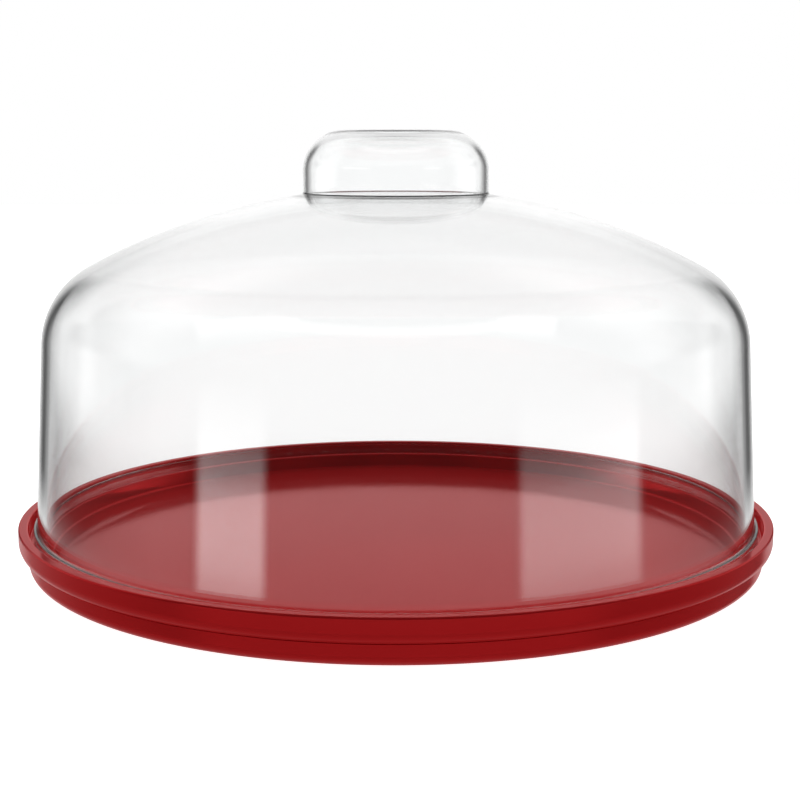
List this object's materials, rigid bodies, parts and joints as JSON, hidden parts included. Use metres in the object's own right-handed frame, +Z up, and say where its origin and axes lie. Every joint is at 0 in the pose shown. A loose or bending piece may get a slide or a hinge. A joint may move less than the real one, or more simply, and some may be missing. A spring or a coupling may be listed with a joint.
{
  "type": "domed cake tray",
  "caption": "Round serving tray on a foot ring, covered by a clear bell-shaped dome with a wide hollow knob; the dome lifts off.",
  "frame": {"origin": "centre of the foot ring on the table", "axes": "+Z up along the common axis of tray and dome; X and Y are any two directions square to it, because every piece is round"},
  "size_m": [0.32, 0.32, 0.1829],
  "materials": {
    "red_plastic": "gloss, opaque, with a metallic pigment",
    "clear_plastic": "clear, polished"
  },
  "bodies": {
    "tray_body": {"tray": "red_plastic", "base_ring": "red_plastic"},
    "dome_body": {"dome": "clear_plastic", "knob": "clear_plastic"}
  },
  "joints": [
    {"name": "dome_lift", "type": "slide", "parent": "tray_body", "child": "dome_body", "axis": [0, 0, 1], "range_m": [0, 0.2]}
  ]
}
